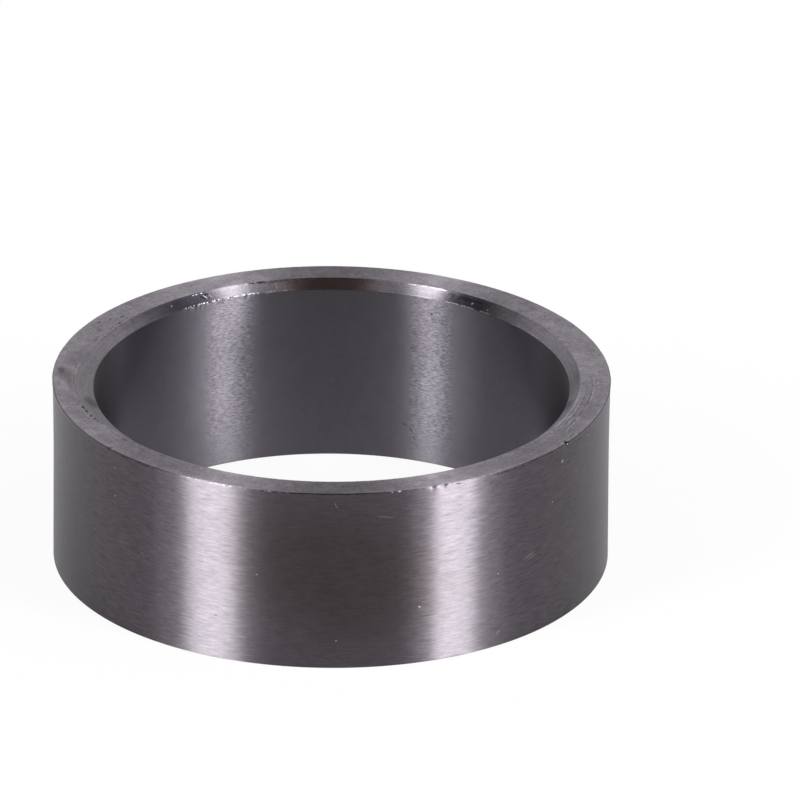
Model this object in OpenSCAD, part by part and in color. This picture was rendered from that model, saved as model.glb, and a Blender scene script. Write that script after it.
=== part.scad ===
// Spacer sleeve: a short length of steel tube, turned and faced square, with a
// chamfer at one mouth of its bore. It stands on its plain end, on the plane Z = 0,
// with its axis along Z and its chamfered mouth on top.

/* [Tube] */
// Diameter of the bore
bore_d = 30; // [6:0.5:80]
// Thickness of the wall, from the bore to the outside
wall = 2.5; // [1.5:0.1:10]
// Length along the axis, from end face to end face
length = 12; // [4:0.5:100]

/* [Bore mouths] */
// Width of the chamfer at the top mouth, measured across the wall
mouth_chamfer_w = 0.65; // [0.1:0.05:1]
// Depth of the chamfer at the top mouth, measured down the bore
mouth_chamfer_d = 0.55; // [0.1:0.05:1.5]
// Broken edge at the bottom mouth of the bore
mouth_break = 0.05; // [0.05:0.05:0.3]

/* [Outer edges] */
// Broken edge all round the outside, the same at both ends
rim_break = 0.05; // [0.05:0.05:0.3]

/* [Finish] */
// Colour of the bare ground steel
steel_colour = [0.42, 0.40, 0.42];
// Straight steps that draw each full circle on the screen
circle_steps = 180; // [48:12:360]

/* [Hidden] */
bore_r = bore_d / 2;
outer_r = bore_r + wall;

// Half section of the wall, as turned, with X as the radius and Y as the height.
// It runs from the bottom mouth outwards, up the outside, across the top end face,
// down the chamfer and back down the bore.
module wall_section() {
    polygon([
        [bore_r + mouth_break, 0],
        [outer_r - rim_break, 0],
        [outer_r, rim_break],
        [outer_r, length - rim_break],
        [outer_r - rim_break, length],
        [bore_r + mouth_chamfer_w, length],
        [bore_r, length - mouth_chamfer_d],
        [bore_r, mouth_break],
    ]);
}

// The sleeve is its wall's section revolved about the axis of the bore.
module sleeve() {
    color(steel_colour)
        rotate_extrude($fn = circle_steps)
            wall_section();
}

sleeve();
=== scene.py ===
import math

import bpy
import numpy as np
from mathutils import Matrix, Vector


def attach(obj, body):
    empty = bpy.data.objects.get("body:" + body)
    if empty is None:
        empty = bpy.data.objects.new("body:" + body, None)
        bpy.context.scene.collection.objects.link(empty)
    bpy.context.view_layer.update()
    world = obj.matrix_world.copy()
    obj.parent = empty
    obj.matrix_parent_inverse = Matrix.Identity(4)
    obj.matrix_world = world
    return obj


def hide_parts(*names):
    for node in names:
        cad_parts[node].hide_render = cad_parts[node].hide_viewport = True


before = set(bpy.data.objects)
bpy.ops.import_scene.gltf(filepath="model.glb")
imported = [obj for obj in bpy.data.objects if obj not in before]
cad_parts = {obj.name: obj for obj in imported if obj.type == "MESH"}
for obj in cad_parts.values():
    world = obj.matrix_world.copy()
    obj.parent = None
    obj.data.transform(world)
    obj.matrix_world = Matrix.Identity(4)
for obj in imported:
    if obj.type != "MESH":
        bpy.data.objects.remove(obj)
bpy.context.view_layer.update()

MM = 0.001

# Camera, as the photograph was taken
IMAGE_PX = 800
CAMERA_DISTANCE = 1900 * MM
CAMERA_ELEVATION = math.radians(24.28)
CAMERA_ROLL = math.radians(0.38)
PX_PER_MM = 15.86
SLEEVE_CENTRE_PX = (331.1, 465.6)
SENSOR_WIDTH = 36
FAR_CLIP = 10

# Mesh density of the sleeve
STEPS_AROUND = 960
ARC_STEPS = 3

# Each softbox is a patch of a dome round the sleeve
LIGHT_DISTANCE = 2.0
SOFTBOX_STEPS = 13

# Every corner of the wall's section is a small round
CORNER_ROUND = 0.015 * MM
# A rolled burr on the top rim and a slight flare below it stand proud at the two sides only. They
# begin where the sine of the azimuth passes SIDES_BEGIN, and are whole SIDES_WIDTH further on. The
# flare begins FLARE_SETS_IN outside the bore, and is whole as far again outside that.
LIP_HEIGHT = 0.22 * MM
LIP_PROUD = 0.045 * MM
LIP_RAGGED = 0.012 * MM
LIP_WAVES = (37, 61, 113, 179, 241, 307)
FLARE_HEIGHT = 5.5 * MM
FLARE_PROUD = 0.07 * MM
FLARE_SETS_IN = 1.2 * MM
SIDES_BEGIN = 0.45
SIDES_WIDTH = 0.4
# The mouth is broken out wider at the left, and is a little ragged all round. The wider part fades
# out across the top face over MOUTH_FADE.
CHAMFER_WIDER = 0.58 * MM
WIDER_AZIMUTH = 279
WIDER_SPREAD = 21
MOUTH_FADE = 1.75 * MM
MOUTH_RAGGED = 0.012 * MM
MOUTH_RAGGED_POWER = 8
MOUTH_WAVES = (83, 131, 197, 263, 331, 401)
# A beaded burr lies along the foot of the chamfer at the back left. It fades in and out over two
# angles in radians.
FOOT_BURR = 0.07 * MM
FOOT_BURR_WIDTH = 0.05 * MM
FOOT_BURR_AZIMUTHS = (189, 219)
FOOT_BURR_FADES = (0.05, 0.02)
BEAD_LEVEL = 0.25
BEAD_WAVES = (59, 97, 151, 223, 281)
# Dents in the edges of the top end: azimuth, radius, half width and depth
DENTS = (
    (57.4, 17.50, 0.14, 0.06),
    (62.4, 17.50, 0.10, 0.05),
    (-52.0, 17.50, 0.12, 0.04),
    (-30.6, 15.55, 0.10, 0.04),
    (21.5, 17.50, 0.12, 0.03),
    (24.0, 17.50, 0.16, 0.04),
)

# Marks are strokes. Each has the azimuth and the height of its two ends, its half width and its
# strength. Azimuth is in degrees from the camera's side, the rest in millimetres. On an end face
# the radius stands in for the height. A dot has its two ends in one place.
OUTSIDE_DARK = (
    (26.6, 11.92, 27.8, 11.88, 0.05, 0.8),
    (34.6, 11.30, 36.0, 11.60, 0.04, 0.45),
    (36.0, 11.00, 37.6, 11.30, 0.04, 0.45),
    (35.2, 10.90, 36.0, 11.00, 0.05, 0.35),
    (57.2, 11.90, 57.7, 11.86, 0.15, 1.0),
    (60.5, 11.55, 64.0, 11.70, 0.03, 0.7),
    (61.5, 11.40, 63.5, 11.62, 0.03, 0.6),
    (64.0, 11.45, 67.0, 11.60, 0.03, 0.6),
    (-34.6, 10.80, -34.2, 10.80, 0.05, 0.6),
    (-24.1, 2.92, -23.9, 2.92, 0.05, 0.7),
    (26.5, 1.50, 26.6, 1.50, 0.04, 0.6),
    (43.0, 3.10, 43.2, 3.10, 0.04, 0.5),
)
# Painted glints: light strokes and dots where scratches, nicks and burrs on the outside catch the light
OUTSIDE_PAINTED_GLINTS = (
    (14.1, 11.95, 14.5, 11.95, 0.055, 1.0),
    (12.7, 11.95, 12.9, 11.95, 0.035, 0.7),
    (-12.7, 11.95, -12.4, 11.95, 0.045, 0.7),
    (-13.6, 11.95, -13.4, 11.95, 0.03, 0.5),
    (57.6, 11.87, 57.7, 11.87, 0.06, 1.0),
    (66.6, 11.36, 66.8, 11.36, 0.04, 0.6),
    (55.6, 10.78, 56.1, 10.92, 0.05, 0.8),
    (67.7, 10.57, 67.8, 10.57, 0.04, 0.5),
    (61.5, 9.55, 61.6, 9.55, 0.04, 0.4),
    (52.6, 8.45, 52.7, 8.45, 0.04, 0.7),
    (-50.4, 8.89, -50.3, 8.89, 0.04, 0.6),
    (-50.4, 10.83, -50.3, 10.80, 0.04, 0.4),
    (-42.3, 5.76, -42.2, 5.76, 0.03, 0.4),
    (-37.7, 6.51, -37.6, 6.51, 0.03, 0.4),
    (-38.0, 3.30, -37.9, 3.30, 0.03, 0.4),
    (-69.4, 9.24, -69.2, 9.24, 0.05, 0.3),
    (1.3, 1.88, 1.4, 1.90, 0.05, 0.5),
    (-15.2, 6.17, -15.1, 6.17, 0.04, 0.4),
    (18.6, 3.88, 18.9, 3.84, 0.05, 0.4),
    (37.0, 4.98, 37.1, 4.98, 0.04, 0.6),
    (1.0, 11.36, 1.2, 11.14, 0.03, 0.25),
    (1.2, 11.14, 1.7, 11.02, 0.03, 0.25),
    (9.0, 10.42, 13.6, 10.14, 0.05, 0.10),
    (43.4, 5.32, 47.0, 5.60, 0.07, 0.12),
    (44.0, 5.14, 47.6, 5.40, 0.06, 0.10),
    (36.6, 0.80, 37.6, 1.10, 0.04, 0.2),
)
FACE_DARK = (
    (-120.4, 17.00, -119.4, 17.00, 0.08, 0.8),
    (-116.6, 16.37, -116.0, 16.40, 0.09, 0.8),
    (-125.6, 16.27, -124.8, 16.27, 0.09, 0.7),
    (-122.0, 15.79, -121.5, 15.85, 0.09, 0.8),
    (-122.8, 16.64, -122.0, 16.60, 0.08, 0.6),
    (-114.0, 16.05, -109.0, 15.97, 0.04, 0.8),
    (126.0, 16.69, 126.4, 16.69, 0.08, 0.6),
    (120.0, 15.87, 120.6, 15.87, 0.07, 0.7),
    (111.6, 15.79, 112.2, 15.79, 0.07, 0.7),
    (102.6, 17.33, 103.4, 17.33, 0.07, 0.5),
    (105.6, 17.16, 106.0, 17.16, 0.07, 0.5),
    (128.5, 16.22, 128.9, 16.22, 0.07, 0.5),
    (-83.6, 15.61, -82.6, 15.75, 0.04, 0.6),
    (-73.9, 16.28, -73.1, 16.24, 0.13, 1.0),
    (-71.8, 16.18, -70.8, 16.26, 0.11, 0.9),
    (-69.0, 16.13, -68.3, 16.24, 0.10, 0.9),
    (-75.6, 16.42, -75.2, 16.40, 0.06, 0.7),
    (-67.2, 16.14, -66.5, 16.12, 0.08, 0.8),
    (-65.4, 16.12, -64.8, 16.10, 0.07, 0.7),
    (-77.2, 16.30, -76.6, 16.30, 0.08, 0.6),
    (-80.6, 16.20, -79.8, 16.10, 0.08, 0.6),
    (-55.0, 15.95, -52.5, 15.98, 0.03, 0.6),
    (-48.5, 16.20, -41.5, 16.28, 0.03, 0.5),
    (-44.0, 15.88, -36.0, 15.92, 0.03, 0.45),
    (66.0, 16.00, 72.5, 16.30, 0.03, 0.5),
    (78.0, 15.85, 66.0, 15.90, 0.03, 0.45),
    (58.0, 15.95, 47.0, 16.05, 0.03, 0.45),
    (62.5, 17.25, 59.5, 17.30, 0.06, 0.6),
    (57.2, 17.44, 57.6, 17.44, 0.11, 1.0),
    (94.0, 16.95, 95.0, 16.90, 0.07, 0.35),
    (90.5, 16.40, 92.0, 16.30, 0.06, 0.30),
)
# Painted glints: lighter streaks where scratches on the top face catch the light
FACE_PAINTED_GLINTS = (
    (-86.5, 16.10, -85.0, 16.35, 0.04, 0.25),
    (-85.0, 16.35, -83.6, 16.20, 0.04, 0.25),
    (-68.6, 16.90, -66.0, 16.50, 0.04, 0.15),
    (-66.0, 16.50, -63.8, 16.10, 0.04, 0.15),
    (-30.7, 15.95, -30.5, 15.95, 0.05, 0.8),
    (172.3, 16.10, 172.5, 16.75, 0.03, 0.12),
    (61.2, 16.80, 65.2, 16.50, 0.05, 0.22),
    (66.5, 15.80, 72.0, 16.05, 0.05, 0.30),
    (70.0, 16.10, 64.0, 16.45, 0.04, 0.25),
    (74.0, 15.75, 62.0, 15.80, 0.04, 0.25),
    (84.0, 15.70, 74.0, 15.72, 0.05, 0.22),
    (56.0, 16.20, 50.0, 16.30, 0.04, 0.20),
    (48.0, 15.90, 40.0, 15.95, 0.03, 0.18),
    (60.0, 17.10, 54.0, 17.05, 0.04, 0.22),
    (-78.5, 16.02, -76.2, 16.30, 0.05, 0.25),
    (-57.0, 16.60, -52.0, 16.75, 0.04, 0.20),
    (-50.0, 16.30, -43.0, 16.40, 0.04, 0.20),
    (-46.0, 16.05, -38.0, 16.10, 0.03, 0.18),
    (-63.0, 17.05, -58.5, 17.15, 0.05, 0.22),
    (88.0, 16.75, 89.5, 16.80, 0.08, 0.25),
    (73.5, 16.20, 78.0, 16.60, 0.04, 0.12),
    (74.5, 16.60, 77.0, 16.15, 0.03, 0.12),
)
BORE_DARK = (
    (155.3, 10.38, 155.1, 10.44, 0.08, 0.8),
    (159.4, 5.60, 158.8, 5.58, 0.06, 0.7),
    (163.1, 2.53, 160.9, 2.33, 0.03, 0.7),
    (160.9, 2.33, 159.8, 1.82, 0.035, 0.8),
    (159.8, 1.82, 159.3, 1.36, 0.035, 0.8),
    (159.3, 1.36, 158.6, 0.97, 0.03, 0.6),
    (150.1, 0.24, 149.9, 0.24, 0.04, 0.5),
)
CHAMFER_DARK = (
    (200.0, 11.92, 189.0, 11.94, 0.05, 0.45),
    (213.0, 11.80, 210.5, 11.60, 0.06, 0.6),
    (149.0, 11.85, 141.0, 11.80, 0.05, 0.5),
)
# Ragged lines run round the sleeve: azimuth from and to, radius, height, half width, size of
# their grains, share that is filled, strength
OUTSIDE_RAGGED_SHADE = (
    # Painted shade: a dark broken line along the top rim, where the broken edge mirrors the dark room and
    # the lip shades the wall under it
    (-90, -38, 17.50, 11.88, 0.08, 0.30, 0.80, 0.85),
    (34, 90, 17.50, 11.88, 0.07, 0.30, 0.70, 0.8),
    (-12, 8, 17.50, 11.93, 0.04, 0.35, 0.30, 0.5),
)
# Painted glints along the top rim, where its burr catches the lamps
OUTSIDE_RAGGED_GLINTS = (
    (-34, -16, 17.50, 11.95, 0.03, 0.18, 0.40, 0.25),
    (20, 36, 17.50, 11.95, 0.03, 0.16, 0.30, 0.20),
    (-16, -8, 17.50, 11.96, 0.04, 0.14, 0.15, 0.4),
)
FACE_RAGGED_DARK = (
    (-98, -68, 16.26, 12.0, 0.10, 0.20, 0.32, 0.7),
    (-68, -52, 16.04, 12.0, 0.09, 0.20, 0.35, 0.6),
    (-128, -100, 15.88, 12.0, 0.08, 0.20, 0.30, 0.55),
    (-60, -36, 15.80, 12.0, 0.05, 0.30, 0.35, 0.4),
    (97, 135, 15.74, 12.0, 0.06, 0.20, 0.25, 0.5),
    (62, 90, 16.47, 12.0, 0.05, 0.60, 0.60, 0.5),
    (64, 84, 16.12, 12.0, 0.05, 0.35, 0.50, 0.45),
    (50, 66, 15.92, 12.0, 0.04, 0.40, 0.60, 0.5),
    (36, 52, 15.80, 12.0, 0.04, 0.30, 0.40, 0.4),
)
# Painted glints: light grains along the mouth and the rim of the top face
FACE_RAGGED_GLINTS = (
    (-98, -62, 16.32, 12.0, 0.06, 0.20, 0.35, 0.22),
    (-60, -25, 15.68, 12.0, 0.05, 0.30, 0.35, 0.18),
    (-34, -17, 17.46, 12.0, 0.04, 0.16, 0.35, 0.15),
    (20, 36, 17.46, 12.0, 0.04, 0.16, 0.35, 0.12),
    (63, 91, 16.56, 12.0, 0.05, 0.80, 0.75, 0.28),
    (66, 80, 16.02, 12.0, 0.05, 0.40, 0.60, 0.22),
    (44, 64, 16.02, 12.0, 0.05, 0.50, 0.60, 0.22),
)
CHAMFER_RAGGED_DARK = (
    (210.5, 213, 15.45, 11.86, 0.16, 0.25, 0.40, 0.7),
    # Painted shade between the beads of the burr along the chamfer's foot
    (197, 219, 15.04, 11.47, 0.07, 0.18, 0.40, 0.9),
    (195.5, 200, 15.60, 11.97, 0.07, 0.15, 0.60, 0.9),
    (180, 195, 15.60, 11.97, 0.03, 0.30, 0.40, 0.5),
    (144, 152, 15.40, 11.84, 0.24, 0.30, 0.35, 0.45),
    (150, 166, 15.58, 11.95, 0.04, 0.30, 0.35, 0.5),
)
# Painted glints on the beads of the burr at the chamfer's foot and on the mouth's edge
CHAMFER_RAGGED_GLINTS = (
    (203, 219, 15.05, 11.49, 0.05, 0.16, 0.38, 1.0),
    (197, 202.5, 15.06, 11.50, 0.055, 0.24, 0.60, 0.85),
    (188, 197.5, 15.03, 11.48, 0.035, 0.20, 0.50, 0.6),
    (138, 152, 15.03, 11.48, 0.04, 0.30, 0.70, 0.6),
    (152, 170, 15.03, 11.48, 0.025, 0.40, 0.60, 0.12),
    (151, 163, 15.60, 11.955, 0.035, 0.60, 0.70, 0.5),
    (211.5, 215, 15.58, 11.96, 0.045, 0.16, 0.30, 0.6),
    (111, 138, 15.03, 11.48, 0.03, 0.30, 0.50, 0.3),
)
# Painted glints: light strokes on the chamfer
CHAMFER_PAINTED_GLINTS = (
    (193.6, 11.90, 193.4, 11.50, 0.025, 0.5),
    (144.6, 11.66, 144.4, 11.70, 0.05, 0.9),
    (221.5, 11.78, 221.4, 11.80, 0.03, 0.7),
    (212.2, 11.90, 211.2, 11.62, 0.025, 0.7),
    (210.6, 11.84, 209.9, 11.66, 0.02, 0.5),
    (140.0, 11.60, 139.6, 11.62, 0.04, 0.4),
)
# Stains and painted shade are soft patches in the same form, with the colour that they turn the steel to
OUTSIDE_PAINTED_SHADE = (
    # Painted shade with a brownish tint, over the front of the outside where it mirrors the floor in front
    (-7.0, 7.5, 10.0, 5.5, 6.5, (0.76, 0.715, 0.675)),
)
FACE_STAINS = (
    (-95.0, 17.15, -92.0, 17.00, 0.34, (0.56, 0.50, 0.53)),
    (-94.5, 17.00, -88.5, 16.45, 0.85, (0.62, 0.575, 0.60)),
    (-90.0, 16.60, -82.0, 16.10, 0.50, (0.70, 0.63, 0.66)),
    (-112.0, 16.20, -104.0, 16.10, 0.50, (0.86, 0.84, 0.86)),
    (-62.0, 16.50, -36.0, 16.50, 1.3, (0.82, 0.81, 0.82)),
    (-84.0, 16.50, -62.0, 16.50, 1.3, (0.78, 0.76, 0.78)),
    (-104.0, 16.30, -97.0, 16.30, 1.2, (0.72, 0.69, 0.72)),
    (-127.0, 16.50, -108.0, 16.50, 1.3, (0.84, 0.83, 0.84)),
    (-155.0, 16.50, -145.0, 16.50, 1.3, (0.74, 0.74, 0.74)),
    (4.0, 16.50, 17.0, 16.50, 1.3, (0.85, 0.85, 0.86)),
    (104.0, 16.50, 118.0, 16.50, 1.3, (0.86, 0.86, 0.87)),
    (-38.0, 16.50, -24.0, 16.50, 1.3, (0.84, 0.83, 0.83)),
    (24.0, 16.50, 44.0, 16.50, 1.4, (0.66, 0.65, 0.65)),
    (60.0, 16.50, 80.0, 16.50, 1.4, (0.74, 0.73, 0.75)),
    (42.0, 16.50, 64.0, 16.50, 1.4, (0.74, 0.72, 0.74)),
    (72.0, 16.50, 98.0, 16.50, 1.4, (0.80, 0.78, 0.81)),
)
CHAMFER_STAINS_AND_SHADE = (
    # Painted reflection: a warm brown cast where the back of the chamfer mirrors a dark surround
    (191.0, 11.7, 171.0, 11.7, 1.6, (1.10, 0.80, 0.69)),
    (-82.0, 11.62, -75.0, 11.62, 0.30, (0.40, 0.37, 0.41)),
    (82.0, 11.60, 76.0, 11.60, 0.28, (0.45, 0.45, 0.58)),
    (96.0, 11.70, 86.0, 11.70, 0.7, (0.76, 0.76, 0.81)),
    # Painted shade: these two darken the chamfer beside its lit bands, where it mirrors a dark surround
    (207.0, 11.7, 225.0, 11.7, 1.1, (0.23, 0.22, 0.25)),
    (152.0, 11.7, 139.0, 11.7, 1.1, (0.28, 0.27, 0.31)),
)
# Share of a stain's or a mark's half width over which it fades out
STAIN_SOFTNESS = 0.75
MARK_SOFTNESS = 0.45
# How far a stroke reaches under the surface, in half widths
STROKE_DEPTH = 20
# A ragged line is whole within these shares of its half width and of its length. Its grains are
# cut out of noise that lies about RAGGED_SPREAD wide round 0.5, with a soft edge.
RAGGED_CORE = 0.4
RAGGED_ENDS = 0.85
RAGGED_SPREAD = 0.22
RAGGED_EDGE = 0.03
# Marks are a little crooked: the size of their bends and how far these go, in millimetres
BEND_SIZE = 0.15
BEND_REACH = 0.1
# Dark marks mix towards this black: dirt, pits and scratches, and painted shade along the top rim and
# between the burr's beads
DIRT_AND_SHADE_BLACK = (0.006, 0.005, 0.005, 1)
# Light marks mix towards this pale grey, a painted glint on scratches, nicks and burrs
PAINTED_GLINT_WHITE = (0.85, 0.84, 0.86, 1)
# Size of the steel's blotches and specks, in millimetres
BLOTCH_SIZE = 1.0
SPECK_SIZE = 0.17
# Range of a noise's value over which its shading runs from darkest to lightest
NOISE_RANGE = (0.25, 0.75)
# Strips where the tool lines show most, as azimuth and half width in degrees; they lie where lamps are
# mirrored, so the stronger line shading, and its fading down the bore, is a painted sheen. Then how
# strong the lines are elsewhere, and the heights between which they set in up the bore, with LEAST_BELOW
# of their strength under the first. A strip is whole within STRIP_CORE of its half width and ends at
# STRIP_EDGE of it.
OUTSIDE_STRIPS = ((-38, 24), (38, 24))
OUTSIDE_REST = 0.5
BORE_STRIPS = ((155.2, 5.4), (205.8, 5.8))
BORE_REST = 0.065
BORE_SETS_IN = (0.5, 3.2)
STRIP_CORE = 0.8
STRIP_EDGE = 1.25
LEAST_BELOW = 0.35


def turned_sizes(node):
    """Sizes that the CAD sleeve was turned to, in metres, read off the corners of its mesh.

    The radius of a corner is its distance from the Z axis. The smallest and largest radius
    are the bore and the outside. The smallest radius on the top end is the mouth of the
    chamfer, and the greatest height on the bore is the chamfer's foot. The largest radius on
    the top end gives the broken rim, and the least height on the bore the broken bottom mouth.
    """
    corners = np.empty(len(node.data.vertices) * 3, np.float32)
    node.data.vertices.foreach_get("co", corners)
    x, y, z = corners.reshape(-1, 3).astype(float).T
    radius = np.hypot(x, y)
    near = 0.01 * MM
    on_top = z > z.max() - near
    on_bore = radius < radius.min() + near
    return {
        "bore_r": radius.min(),
        "outer_r": radius.max(),
        "length": z.max(),
        "mouth_r": radius[on_top].min(),
        "rim_r": radius[on_top].max(),
        "chamfer_foot": z[on_bore].max(),
        "mouth_break": z[on_bore].min(),
    }


def straight(start, end, rows):
    """Points on a straight stretch, closer together towards both of its ends.

    They lie at start + (end - start) * (1 - cos(pi * t)) / 2, with t in even steps and both
    ends left out.
    """
    t = np.linspace(0, 1, rows + 2)[1:-1, None]
    return start + (end - start) * (1 - np.cos(np.pi * t)) / 2


def rounded(corner, before, after, size):
    """Points of a small round over a corner, from the line before it to the line after it.

    The round is the curve (1-t)^2 * A + 2t(1-t) * corner + t^2 * B, where A and B lie on the
    two lines, size away from the corner.
    """
    to_before = (before - corner) / np.linalg.norm(before - corner)
    to_after = (after - corner) / np.linalg.norm(after - corner)
    t = np.linspace(0, 1, ARC_STEPS + 1)[:, None]
    a = corner + to_before * size
    b = corner + to_after * size
    return (1 - t) ** 2 * a + 2 * t * (1 - t) * corner + t ** 2 * b


ZONES = ("bottom_face", "bottom_rim", "outside", "top_rim", "top_face", "chamfer", "bore", "bottom_mouth")
ZONE_ROWS = (2, 1, 24, 1, 14, 8, 15, 1)


def wall_section(sizes):
    """Closed outline of the wall, as radius and height, with each point's zone.

    The outline runs outwards over the bottom face, up the outside, inwards over the top face,
    down the chamfer and down the bore. Each corner is a small round.
    """
    rim = sizes["outer_r"] - sizes["rim_r"]
    corners = np.array([
        (sizes["bore_r"] + sizes["mouth_break"], 0),
        (sizes["outer_r"] - rim, 0),
        (sizes["outer_r"], rim),
        (sizes["outer_r"], sizes["length"] - rim),
        (sizes["rim_r"], sizes["length"]),
        (sizes["mouth_r"], sizes["length"]),
        (sizes["bore_r"], sizes["chamfer_foot"]),
        (sizes["bore_r"], sizes["mouth_break"]),
    ])
    points = []
    zones = []
    for i, rows in enumerate(ZONE_ROWS):
        here = corners[i]
        ahead = corners[(i + 1) % len(corners)]
        arc = rounded(here, corners[i - 1], ahead, CORNER_ROUND)
        run = straight(here, ahead, rows)
        points += [arc, run]
        zones += [i] * (len(arc) + len(run))
    return np.concatenate(points), np.array(zones)


def ripple(turn, waves, seed):
    """Ragged height round the sleeve, between about -1 and 1.

    It is the mean of sines of whole numbers of waves, each with its own phase, times 2.
    """
    phases = np.random.default_rng(seed).uniform(0, 2 * math.pi, len(waves))
    return np.sin(turn * np.array(waves) + phases).mean(1, keepdims=True) * 2


def sleeve_surface(sizes):
    """Corner grid of the sleeve: the wall's section turned about Z.

    x = r * sin(a), y = -r * cos(a) and z = h, where a is the turn from the camera's side and
    (r, h) runs round the section. Four things are added to r and h:
    the mouth moves out by wider * exp(-((a - middle) / spread)^2) and by a ragged ripple,
    fading out down the chamfer and across the top face;
    the outside flares out a little over its upper half, and near the top rim as a rolled burr, at
    the two sides of the sleeve;
    at the chamfer's foot a burr of height b(a) stands in by b * exp(-(distance / width)^2);
    each dent moves its edge in and down by depth * exp(-(distance / half width)^2).
    """
    section, zones = wall_section(sizes)
    a = np.linspace(0, 2 * math.pi, STEPS_AROUND, endpoint=False)[:, None]
    r = np.repeat(section[None, :, 0], STEPS_AROUND, 0)
    h = np.repeat(section[None, :, 1], STEPS_AROUND, 0)
    foot, top = sizes["chamfer_foot"], sizes["length"]

    up_chamfer = np.clip((h - foot) / (top - foot), 0, 1)
    near_mouth = up_chamfer * np.clip((sizes["rim_r"] - r) / MOUTH_FADE, 0, 1)
    wider = CHAMFER_WIDER * np.exp(-((np.degrees(a) - WIDER_AZIMUTH) / WIDER_SPREAD) ** 2)
    jagged = MOUTH_RAGGED * ripple(a, MOUTH_WAVES, seed=11)
    r = r + wider * near_mouth + jagged * near_mouth ** MOUTH_RAGGED_POWER

    rise = np.clip((h - top + LIP_HEIGHT) / LIP_HEIGHT, 0, 1)
    outward = np.clip((r - sizes["rim_r"]) / (sizes["outer_r"] - sizes["rim_r"]), 0, 1)
    at_sides = np.clip((np.abs(np.sin(a)) - SIDES_BEGIN) / SIDES_WIDTH, 0, 1)
    reach = LIP_PROUD * at_sides + LIP_RAGGED * ripple(a, LIP_WAVES, seed=5)
    upper = np.clip((h - top + FLARE_HEIGHT) / FLARE_HEIGHT, 0, 1)
    near_outside = np.clip((r - sizes["bore_r"] - FLARE_SETS_IN) / FLARE_SETS_IN, 0, 1)
    r = r + reach * rise ** 2 * outward + FLARE_PROUD * at_sides * upper ** 2 * near_outside

    begins, ends = np.radians(FOOT_BURR_AZIMUTHS)
    fade_in, fade_out = FOOT_BURR_FADES
    fade = np.clip((a - begins) / fade_in, 0, 1) * np.clip((ends - a) / fade_out, 0, 1)
    beads = np.clip(BEAD_LEVEL + ripple(a, BEAD_WAVES, seed=3), 0, 1)
    beads = beads * fade * (a - begins) / (ends - begins)
    from_foot = np.hypot(r - sizes["bore_r"], h - foot)
    r = r - FOOT_BURR * beads * np.exp(-(from_foot / FOOT_BURR_WIDTH) ** 2)

    for azimuth, radius, half_width, depth in DENTS:
        along = (a - math.radians(azimuth % 360)) * r
        reach = along ** 2 + (r - radius * MM) ** 2 + (h - top) ** 2
        shift = depth * MM * np.exp(-reach / (half_width * MM) ** 2)
        r, h = r - shift * np.sign(radius * MM - sizes["rim_r"] + 0.5 * MM), h - shift
    x = r * np.sin(a)
    y = -r * np.cos(a)
    return np.stack([x, y, h], -1), zones


def grid_mesh(name, grid, zones):
    """A closed ring of quads on a grid of corners that joins up both ways.

    Corner (i, j) meets (i+1, j), (i+1, j+1) and (i, j+1), counted round both ways.
    """
    around, along = grid.shape[:2]
    i, j = np.meshgrid(np.arange(around), np.arange(along), indexing="ij")
    i_next = (i + 1) % around
    j_next = (j + 1) % along
    quads = np.stack([
        i * along + j,
        i_next * along + j,
        i_next * along + j_next,
        i * along + j_next,
    ], -1).reshape(-1, 4)
    mesh = bpy.data.meshes.new(name)
    mesh.vertices.add(around * along)
    mesh.vertices.foreach_set("co", grid.reshape(-1).astype(np.float32))
    mesh.loops.add(quads.size)
    mesh.loops.foreach_set("vertex_index", quads.reshape(-1).astype(np.int32))
    mesh.polygons.add(len(quads))
    mesh.polygons.foreach_set("loop_start", np.arange(0, quads.size, 4, dtype=np.int32))
    mesh.polygons.foreach_set("material_index", np.tile(zones, around).astype(np.int32))
    mesh.update(calc_edges=True)
    mesh.shade_smooth()
    piece = bpy.data.objects.new(name, mesh)
    bpy.context.scene.collection.objects.link(piece)
    return piece


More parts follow.
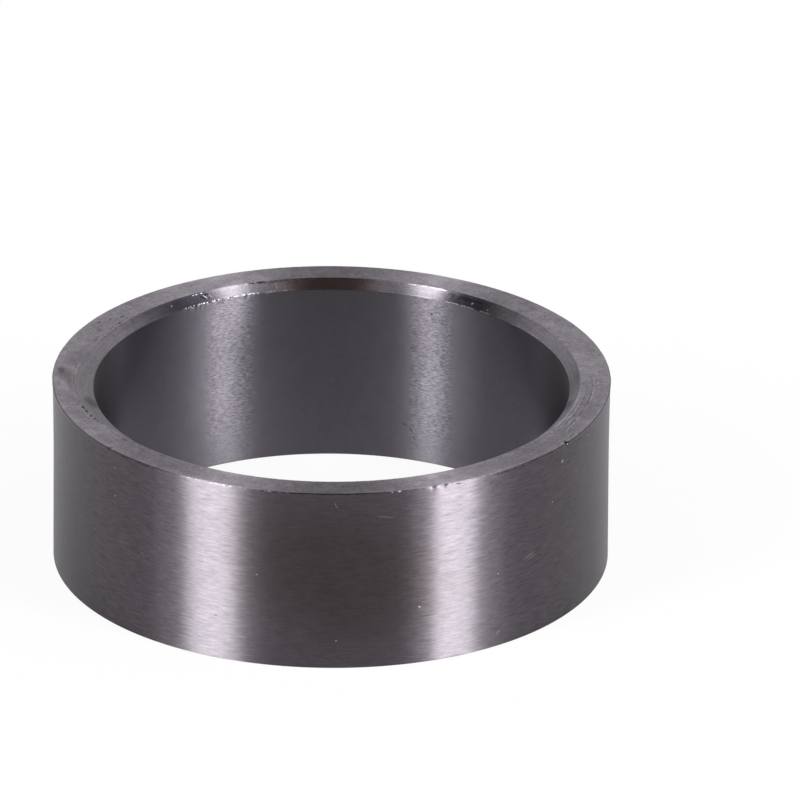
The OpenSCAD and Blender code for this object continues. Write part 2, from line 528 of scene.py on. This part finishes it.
class Nodes:
    """Short hand for building one material's node tree."""

    def __init__(self, material):
        self.tree = material.node_tree
        self.tree.nodes.clear()

    def add(self, kind, **values):
        node = self.tree.nodes.new(kind)
        for key, value in values.items():
            setattr(node, key, value)
        return node

    def feed(self, socket, value):
        if isinstance(value, bpy.types.NodeSocket):
            self.tree.links.new(value, socket)
        else:
            socket.default_value = value

    def vector(self, operation, *inputs):
        node = self.add("ShaderNodeVectorMath", operation=operation)
        sockets = (node.inputs[0], node.inputs["Scale"]) if operation == "SCALE" else node.inputs
        for socket, value in zip(sockets, inputs):
            self.feed(socket, value)
        return node.outputs["Value" if operation in ("LENGTH", "DOT_PRODUCT") else "Vector"]

    def math(self, operation, *inputs):
        node = self.add("ShaderNodeMath", operation=operation)
        for socket, value in zip(node.inputs, inputs):
            self.feed(socket, value)
        return node.outputs["Value"]

    def noise(self, vector, detail=2.0, roughness=0.5):
        node = self.add("ShaderNodeTexNoise", noise_dimensions="3D")
        self.feed(node.inputs["Vector"], vector)
        node.inputs["Scale"].default_value = 1.0
        node.inputs["Detail"].default_value = detail
        node.inputs["Roughness"].default_value = roughness
        return node.outputs

    def ease(self, value, low, high, to_low, to_high):
        """Map that eases in and out.

        Its curve stops at both ends by itself. A material with this many marks has rendered
        black with clamped maps in its place.
        """
        return self.map(value, low, high, to_low, to_high, interpolation_type="SMOOTHSTEP", clamp=False)

    def map(self, value, low, high, to_low, to_high, **kind):
        node = self.add("ShaderNodeMapRange", **kind)
        self.feed(node.inputs["Value"], value)
        for key, number in (("From Min", low), ("From Max", high), ("To Min", to_low), ("To Max", to_high)):
            node.inputs[key].default_value = number
        return node.outputs["Result"]

    def blend(self, way, factor, first, second):
        node = self.add("ShaderNodeMix", data_type="RGBA", blend_type=way)
        sockets = [s for s in node.inputs if s.enabled]
        for socket, value in zip(sockets, (factor, first, second)):
            self.feed(socket, value)
        return next(s for s in node.outputs if s.enabled)

    def stroke(self, place, mark, end_face, softness):
        """Strength of one mark, from its line outwards.

        The object's point is moved, turned and scaled so that the stroke becomes a ball of
        radius 1. The strength falls from full to nothing over the outer part of that ball.
        """
        from_turn, from_height, to_turn, to_height, half_width, strength = mark
        turn = math.radians(from_turn + to_turn) / 2
        middle = (from_height + to_height) / 2
        radius = middle if end_face else self.wall_radius
        along = math.radians(to_turn - from_turn) * radius
        across = to_height - from_height
        half_length = math.hypot(along, across) / 2 + half_width
        tilt = math.atan2(across, along)
        spot = self.add("ShaderNodeMapping", vector_type="TEXTURE")
        self.feed(spot.inputs["Vector"], place)
        out = radius * MM
        level = self.face_height if end_face else middle * MM
        spot.inputs["Location"].default_value = (out * math.sin(turn), -out * math.cos(turn), level)
        deep = STROKE_DEPTH * half_width
        if end_face:
            spot.inputs["Rotation"].default_value = (0, 0, turn - tilt)
            size = (half_length, half_width, deep)
        else:
            spot.inputs["Rotation"].default_value = (0, -tilt, turn)
            size = (half_length, deep, half_width)
        spot.inputs["Scale"].default_value = tuple(v * MM for v in size)
        reach = self.vector("LENGTH", spot.outputs["Vector"])
        return self.ease(reach, 1, 1 - softness, 0, strength)

    def ragged_line(self, place, line):
        """Strength of a ragged line round the sleeve: grains of noise near a circle about Z.

        The line is where the distance from the circle is under the half width, between the two
        azimuths, and the noise is over a level that leaves the filled share.
        """
        from_turn, to_turn, radius, height, half_width, grain, filled, strength = line
        middle = math.radians(from_turn + to_turn) / 2
        reach = math.radians(to_turn - from_turn) / 2
        flat = self.vector("MULTIPLY", place, (1, 1, 0))
        spot = self.add("ShaderNodeSeparateXYZ")
        self.feed(spot.inputs[0], place)
        away = self.math("SUBTRACT", self.vector("LENGTH", flat), radius * MM)
        level = self.math("SUBTRACT", spot.outputs["Z"], height * MM)
        away = self.math("SQRT", self.math("ADD", self.math("POWER", away, 2), self.math("POWER", level, 2)))
        line = self.ease(away, half_width * MM, RAGGED_CORE * half_width * MM, 0, strength)
        aim = (math.sin(middle), -math.cos(middle), 0)
        side = self.vector("DOT_PRODUCT", self.vector("NORMALIZE", flat), aim)
        ends = self.ease(side, math.cos(reach), math.cos(RAGGED_ENDS * reach), 0, 1)
        line = self.math("MULTIPLY", line, ends)
        grained = self.vector("SCALE", place, 1 / (grain * MM))
        offset = self.vector("ADD", grained, (radius, height, from_turn))
        rough = self.noise(offset, 1.0, 0.5)["Fac"]
        cut = 0.5 + RAGGED_SPREAD * (0.5 - filled)
        grains = self.ease(rough, cut - RAGGED_EDGE, cut + RAGGED_EDGE, 0, 1)
        return self.math("MULTIPLY", line, grains)

    def strokes(self, place, marks, ragged, end_face):
        strongest = 0.0
        for mark in marks:
            one = self.stroke(place, mark, end_face, MARK_SOFTNESS)
            strongest = one if strongest == 0.0 else self.math("MAXIMUM", strongest, one)
        for line in ragged:
            one = self.ragged_line(place, line)
            strongest = one if strongest == 0.0 else self.math("MAXIMUM", strongest, one)
        return strongest


def steel(name, base, roughness, anisotropy, grain, tilt, shades, wall_radius,
          dark=(), glints=(), ragged_dark=(), ragged_glints=(), stains_and_shade=(), strips=(), rest=1.0,
          sets_in=None, face_height=None):
    """Bare machined steel with tool lines that run round the sleeve.

    Noise stretched round the sleeve tips the surface a little, round and across. The tangent
    runs round the sleeve, and the quarter turn makes a reflection smear across the tool lines.
    The three shades are how far broad blotches, the tool lines and fine specks lighten or
    darken it.
    Strokes darken it, as dirt and as painted shade, or lighten it as painted glints. Soft patches
    tint it, as stain and as painted shade. The tool lines have their full strength in the strips,
    where they show as a painted sheen, and the rest of it elsewhere; sets_in is the two heights between
    which they set in.
    """
    material = bpy.data.materials.new(name)
    material.use_nodes = True
    n = Nodes(material)
    n.wall_radius = wall_radius
    n.face_height = face_height
    end_face = face_height is not None
    out = n.add("ShaderNodeOutputMaterial")
    shader = n.add("ShaderNodeBsdfPrincipled")
    n.feed(out.inputs["Surface"], shader.outputs["BSDF"])
    shader.inputs["Metallic"].default_value = 1.0
    shader.inputs["Roughness"].default_value = roughness
    shader.inputs["Anisotropic"].default_value = anisotropy
    shader.inputs["Anisotropic Rotation"].default_value = 0.25
    place = n.add("ShaderNodeTexCoord").outputs["Object"]
    around = n.vector("NORMALIZE", n.vector("CROSS_PRODUCT", (0, 0, 1), place))
    n.feed(shader.inputs["Tangent"], around)

    ruled = place
    if end_face:
        flat = n.vector("MULTIPLY", place, (1, 1, 0))
        join = n.add("ShaderNodeCombineXYZ")
        n.feed(join.inputs["Z"], n.vector("LENGTH", flat))
        ruled = n.vector("ADD", flat, join.outputs["Vector"])
    length, width = (1 / (v * MM) for v in grain)
    lines = n.noise(n.vector("MULTIPLY", ruled, (length, length, width)), 3.0, 0.6)
    split = n.add("ShaderNodeSeparateXYZ")
    n.feed(split.inputs[0], n.vector("SUBTRACT", lines["Color"], (0.5, 0.5, 0.5)))
    normal = n.add("ShaderNodeNewGeometry").outputs["Normal"]
    across = n.vector("CROSS_PRODUCT", normal, around)
    tip_round = n.vector("SCALE", around, n.math("MULTIPLY", split.outputs["X"], tilt[0]))
    tip_across = n.vector("SCALE", across, n.math("MULTIPLY", split.outputs["Y"], tilt[1]))
    tipped = n.vector("ADD", normal, n.vector("ADD", tip_round, tip_across))
    n.feed(shader.inputs["Normal"], n.vector("NORMALIZE", tipped))

    blotch, line, speck = shades
    strength = rest
    if strips:
        flat = n.vector("NORMALIZE", n.vector("MULTIPLY", place, (1, 1, 0)))
        for azimuth, reach in strips:
            aim = (math.sin(math.radians(azimuth)), -math.cos(math.radians(azimuth)), 0)
            near_strip = n.vector("DOT_PRODUCT", flat, aim)
            edge = math.cos(math.radians(reach * STRIP_EDGE))
            core = math.cos(math.radians(reach * STRIP_CORE))
            strength = n.math("MAXIMUM", strength, n.ease(near_strip, edge, core, 0, 1))
    if sets_in:
        height = n.vector("DOT_PRODUCT", place, (0, 0, 1))
        begins, full = (v * MM for v in sets_in)
        strength = n.math("MULTIPLY", strength, n.ease(height, begins, full, LEAST_BELOW, 1))
    broad = n.noise(n.vector("SCALE", place, 1 / (BLOTCH_SIZE * MM)), 5.0, 0.65)["Fac"]
    fine = n.noise(n.vector("SCALE", place, 1 / (SPECK_SIZE * MM)), 2.0, 0.6)["Fac"]
    shade = n.map(broad, *NOISE_RANGE, 1 - blotch, 1 + blotch)
    lined = n.math("MULTIPLY", split.outputs["Z"], 2 * line / (NOISE_RANGE[1] - NOISE_RANGE[0]))
    lined = n.math("MULTIPLY", lined, strength)
    shade = n.math("MULTIPLY", shade, n.math("ADD", lined, 1.0))
    shade = n.math("MULTIPLY", shade, n.map(fine, *NOISE_RANGE, 1 - speck, 1 + speck))
    colour = n.vector("SCALE", base, shade)
    for from_turn, from_height, to_turn, to_height, half_width, tint in stains_and_shade:
        mark = (from_turn, from_height, to_turn, to_height, half_width, 1.0)
        colour = n.blend("MULTIPLY", n.stroke(place, mark, end_face, STAIN_SOFTNESS), colour, (*tint, 1))
    if dark or glints or ragged_dark or ragged_glints:
        bend = n.noise(n.vector("SCALE", place, 1 / (BEND_SIZE * MM)), 1.0, 0.5)["Color"]
        bend = n.vector("SUBTRACT", bend, (0.5, 0.5, 0.5))
        near = n.vector("ADD", place, n.vector("SCALE", bend, BEND_REACH * MM))
    # Dark strokes: dirt and pits, and painted shade along the rim and the burr
    if dark or ragged_dark:
        black = n.strokes(near, dark, ragged_dark, end_face)
        colour = n.blend("MIX", black, colour, DIRT_AND_SHADE_BLACK)
    # Painted glints: light strokes mix the colour towards a pale grey
    if glints or ragged_glints:
        white = n.strokes(near, glints, ragged_glints, end_face)
        colour = n.blend("MIX", white, colour, PAINTED_GLINT_WHITE)
    n.feed(shader.inputs["Base Color"], colour)
    return material


def emitter(name, colour, strength):
    material = bpy.data.materials.new(name)
    material.use_nodes = True
    n = Nodes(material)
    out = n.add("ShaderNodeOutputMaterial")
    glow = n.add("ShaderNodeEmission")
    glow.inputs["Color"].default_value = (*colour, 1)
    glow.inputs["Strength"].default_value = strength
    n.feed(out.inputs["Surface"], glow.outputs["Emission"])
    return material


def softbox(name, azimuths, elevations, strength, colour):
    """A lit sheet on a dome round the sleeve, between two azimuths and two elevations in degrees.

    x = R * cos(e) * sin(a), y = -R * cos(e) * cos(a) and z = R * sin(e), where the azimuth a is
    the turn from the camera's side and e is the elevation.
    """
    a, e = np.meshgrid(
        np.radians(np.linspace(*azimuths, SOFTBOX_STEPS)),
        np.radians(np.linspace(*elevations, SOFTBOX_STEPS)),
    )
    points = np.stack([np.cos(e) * np.sin(a), -np.cos(e) * np.cos(a), np.sin(e)], -1) * LIGHT_DISTANCE
    i, j = np.meshgrid(np.arange(SOFTBOX_STEPS - 1), np.arange(SOFTBOX_STEPS - 1), indexing="ij")
    first = (i * SOFTBOX_STEPS + j).reshape(-1, 1)
    quads = first + np.array([0, 1, SOFTBOX_STEPS + 1, SOFTBOX_STEPS])
    mesh = bpy.data.meshes.new(name)
    mesh.from_pydata(points.reshape(-1, 3).tolist(), [], quads.tolist())
    mesh.materials.append(emitter(name + "_light", colour, strength))
    made = bpy.data.objects.new(name, mesh)
    bpy.context.scene.collection.objects.link(made)


def floor(size, colour, seen_lift, mirrored_lift):
    """A plain pale floor that keeps the shadow, lifted towards white where it is seen or mirrored."""
    corners = [(-size, -size, 0), (size, -size, 0), (size, size, 0), (-size, size, 0)]
    mesh = bpy.data.meshes.new("floor")
    mesh.from_pydata(corners, [], [(0, 1, 2, 3)])
    material = bpy.data.materials.new("floor_white")
    material.use_nodes = True
    material.cycles.emission_sampling = "NONE"
    n = Nodes(material)
    out = n.add("ShaderNodeOutputMaterial")
    shade = n.add("ShaderNodeBsdfDiffuse")
    shade.inputs["Color"].default_value = (*colour, 1)
    white = n.add("ShaderNodeEmission")
    ray = n.add("ShaderNodeLightPath").outputs
    seen = n.math("MULTIPLY", ray["Is Camera Ray"], seen_lift)
    mirrored = n.math("MAXIMUM", ray["Is Glossy Ray"], ray["Is Transmission Ray"])
    mirrored = n.math("MULTIPLY", mirrored, mirrored_lift)
    mix = n.add("ShaderNodeMixShader")
    n.feed(mix.inputs[0], n.math("MAXIMUM", seen, mirrored))
    n.feed(mix.inputs[1], shade.outputs["BSDF"])
    n.feed(mix.inputs[2], white.outputs["Emission"])
    n.feed(out.inputs["Surface"], mix.outputs["Shader"])
    mesh.materials.append(material)
    made = bpy.data.objects.new("floor", mesh)
    bpy.context.scene.collection.objects.link(made)


def studio(seen, mirrored, unseen):
    """The room beyond the floor: white to the camera and nearly dark to the steel."""
    world = bpy.data.worlds.new("studio")
    world.use_nodes = True
    n = Nodes(world)
    ray = n.add("ShaderNodeLightPath").outputs
    out = n.add("ShaderNodeOutputWorld")
    room = n.add("ShaderNodeBackground")
    glossy = n.math("MAXIMUM", ray["Is Glossy Ray"], ray["Is Transmission Ray"])
    white = n.math("MULTIPLY", ray["Is Camera Ray"], seen)
    n.feed(room.inputs["Strength"], n.math("MAXIMUM", white, n.map(glossy, 0, 1, unseen, mirrored)))
    room.inputs["Color"].default_value = (1, 1, 1, 1)
    n.feed(out.inputs["Surface"], room.outputs["Background"])
    bpy.context.scene.world = world


def camera(target):
    e = CAMERA_ELEVATION
    back = Vector((0, -math.cos(e), math.sin(e)))
    right = Vector((1, 0, 0))
    up = Vector((0, math.sin(e), math.cos(e)))
    roll = CAMERA_ROLL
    right, up = right * math.cos(roll) + up * math.sin(roll), up * math.cos(roll) - right * math.sin(roll)
    data = bpy.data.cameras.new("camera")
    data.sensor_width = SENSOR_WIDTH
    data.lens = CAMERA_DISTANCE / MM * PX_PER_MM / IMAGE_PX * data.sensor_width
    data.clip_end = FAR_CLIP
    made = bpy.data.objects.new("camera", data)
    bpy.context.scene.collection.objects.link(made)
    off_x = (IMAGE_PX / 2 - SLEEVE_CENTRE_PX[0]) / PX_PER_MM * MM
    off_y = (SLEEVE_CENTRE_PX[1] - IMAGE_PX / 2) / PX_PER_MM * MM
    aim = target + right * off_x + up * off_y
    turn = Matrix((right, up, back)).transposed().to_4x4()
    made.matrix_world = Matrix.Translation(aim + back * CAMERA_DISTANCE) @ turn
    bpy.context.scene.camera = made


sizes = turned_sizes(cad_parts["sleeve"])
grid, zones = sleeve_surface(sizes)
sleeve = grid_mesh("sleeve_turned", grid, zones)
outer_mm = sizes["outer_r"] / MM
bore_mm = sizes["bore_r"] / MM
outside = steel(
    "ground_outside", (0.106, 0.0935, 0.107), 0.37, 1.0, grain=(0.8, 0.065), tilt=(0.05, 0.15),
    shades=(0.07, 0.33, 0.06), wall_radius=outer_mm, dark=OUTSIDE_DARK, glints=OUTSIDE_PAINTED_GLINTS,
    ragged_dark=OUTSIDE_RAGGED_SHADE, ragged_glints=OUTSIDE_RAGGED_GLINTS, stains_and_shade=OUTSIDE_PAINTED_SHADE,
    strips=OUTSIDE_STRIPS, rest=OUTSIDE_REST,
)
face = steel(
    "faced_end", (0.356, 0.326, 0.364), 0.45, 0.9, grain=(2.5, 0.10), tilt=(0.08, 0.10),
    shades=(0.26, 0.08, 0.24), wall_radius=outer_mm, dark=FACE_DARK, glints=FACE_PAINTED_GLINTS,
    ragged_dark=FACE_RAGGED_DARK, ragged_glints=FACE_RAGGED_GLINTS,
    stains_and_shade=FACE_STAINS, face_height=sizes["length"],
)
cut = steel(
    "turned_chamfer", (0.247, 0.228, 0.257), 0.37, 1.0, grain=(3.0, 0.06), tilt=(0.08, 0.10),
    shades=(0.14, 0.16, 0.20), wall_radius=bore_mm + 0.3, dark=CHAMFER_DARK, glints=CHAMFER_PAINTED_GLINTS,
    ragged_dark=CHAMFER_RAGGED_DARK, ragged_glints=CHAMFER_RAGGED_GLINTS, stains_and_shade=CHAMFER_STAINS_AND_SHADE,
)
bore = steel(
    "honed_bore", (0.178, 0.165, 0.188), 0.40, 1.0, grain=(0.28, 0.055), tilt=(0.12, 0.40),
    shades=(0.05, 0.68, 0.02), wall_radius=bore_mm, dark=BORE_DARK, strips=BORE_STRIPS,
    rest=BORE_REST, sets_in=BORE_SETS_IN,
)
for zone in ZONES:
    sleeve.data.materials.append({
        "bottom_face": face, "bottom_rim": outside, "outside": outside, "top_rim": outside,
        "top_face": face, "chamfer": cut, "bore": bore, "bottom_mouth": bore,
    }[zone])
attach(sleeve, "root")
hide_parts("sleeve")

camera(Vector((0, 0, sizes["length"] / 2)))
floor(size=1.6, colour=(0.88, 0.88, 0.88), seen_lift=0.92, mirrored_lift=0.3)
studio(seen=1.0, mirrored=0.015, unseen=0.01)
bpy.context.scene.view_settings.view_transform = "Standard"

# Colours of the lights: the low side lamps are a little greener than the rest
PLAIN = (1.0, 1.0, 1.0)
FRESH = (1.0, 1.05, 1.01)

# Each softbox has a name, two azimuths, two elevations, a strength and a colour
SOFTBOXES = (
    ("kicker_left", (-58.3, -37.5), (0, 1), 560, FRESH),
    ("kicker_left_shoulder", (-73, -58.3), (0, 1), 40, FRESH),
    ("kicker_right", (42.2, 59.5), (0, 1), 520, FRESH),
    ("kicker_right_inner", (32.5, 42.2), (0, 1), 88, FRESH),
    ("kicker_left_inner", (-37.5, -28), (0, 1), 48, FRESH),
    ("kicker_right_shoulder", (59.5, 73), (0, 1), 40, FRESH),
    ("strip_left_foot", (-42, -36), (1, 8), 9, PLAIN),
    ("strip_left_low", (-54, -46.5), (15, 30), 17.5, PLAIN),
    ("strip_left_middle", (-57.5, -45.5), (30, 45), 21.5, PLAIN),
    ("strip_left_high", (-56, -50), (45, 60), 13, PLAIN),
    ("strip_left_top", (-46, -36), (60, 75), 5, PLAIN),
    ("strip_left_top_far", (-73, -62), (60, 75), 4, PLAIN),
    ("strip_left_halo", (-73, -58), (15, 45), 2.4, PLAIN),
    ("strip_right_halo", (62, 73), (15, 45), 3.6, PLAIN),
    ("strip_right_far", (73, 108), (45, 60), 3.4, PLAIN),
    ("strip_right_foot", (42, 48), (1, 8), 45, PLAIN),
    ("strip_right_low", (51, 61), (15, 30), 18, PLAIN),
    ("strip_right_middle", (47.5, 61.5), (30, 45), 18.5, PLAIN),
    ("strip_right_high", (56, 62), (45, 60), 10, PLAIN),
    ("strip_right_top", (36, 73), (60, 75), 3, PLAIN),
    ("skirt_left_side", (-115, -73), (0, 20), 0.36, PLAIN),
    ("skirt_left_rear", (-155, -115), (0, 20), 0.5, PLAIN),
    ("skirt_right_side", (73, 115), (0, 20), 0.26, PLAIN),
    ("skirt_right_rear", (115, 155), (0, 20), 0.58, PLAIN),
    ("skirt_back", (155, 205), (0, 20), 0.60, PLAIN),
    ("sheet_left_side", (-115, -73), (20, 45), 0.5, PLAIN),
    ("sheet_left_rear", (-155, -115), (20, 45), 0.95, PLAIN),
    ("sheet_right_side", (92, 115), (20, 45), 0.43, PLAIN),
    ("sheet_right_near", (73, 92), (20, 45), 0.95, PLAIN),
    ("sheet_right_rear", (115, 155), (20, 45), 0.92, PLAIN),
    ("sheet_back", (155, 205), (20, 45), 0.76, PLAIN),
    ("skirt_front", (-27, 26), (0, 15), 0.38, PLAIN),
    ("ceiling", (0, 360), (75, 90), 0.24, PLAIN),
)
for name, azimuths, elevations, strength, colour in SOFTBOXES:
    softbox(name, azimuths, elevations, strength, colour)
